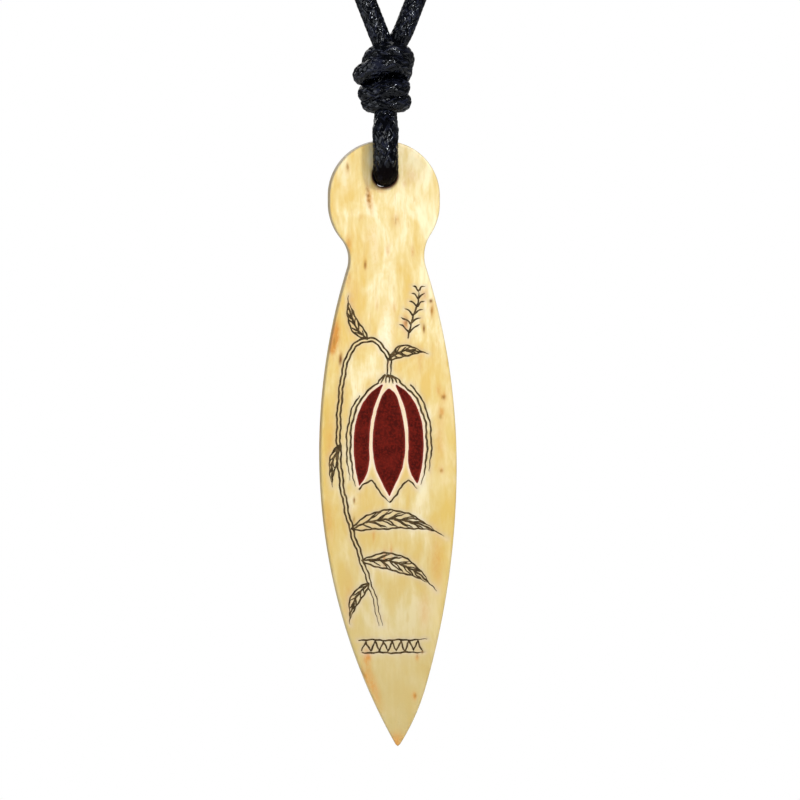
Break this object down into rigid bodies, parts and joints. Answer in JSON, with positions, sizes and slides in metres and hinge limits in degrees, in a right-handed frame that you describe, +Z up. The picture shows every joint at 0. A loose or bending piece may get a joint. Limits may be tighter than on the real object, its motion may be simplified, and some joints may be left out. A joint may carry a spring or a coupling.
{
  "type": "pendant necklace",
  "caption": "Necklace with a long pointed bone pendant, engraved and stained, hung by its round drilled head from a knotted dark waxed cord, in the form it has when worn.",
  "frame": {"origin": "the middle of the cord at the nape, inside the closing knot, where the necklace hangs on the neck", "axes": "+X to the viewer's right, -Y to the pendant's front face, +Z up; the pendant hangs at -Z on the -Y side of the nape"},
  "size_m": [0.1158, 0.132, 0.2612],
  "materials": {
    "bone": "polished cream bone, aged, with brown specks and streaks; engraved lines are stained dark and one motif deep red",
    "cord": "blue-black waxed braid with a soft sheen"
  },
  "bodies": {
    "necklace": {"bail_loop": "cord", "pendant_knot": "cord", "neck_cord_left": "cord", "neck_cord_right": "cord", "nape_knot": "cord"},
    "pendant": {"pendant": "bone"}
  },
  "joints": [
    {"name": "pendant_swing", "type": "hinge", "parent": "necklace", "child": "pendant", "pos_m": [0, -0.125, -0.2], "axis": [0, 1, 0], "range_deg": [-40, 40]}
  ]
}
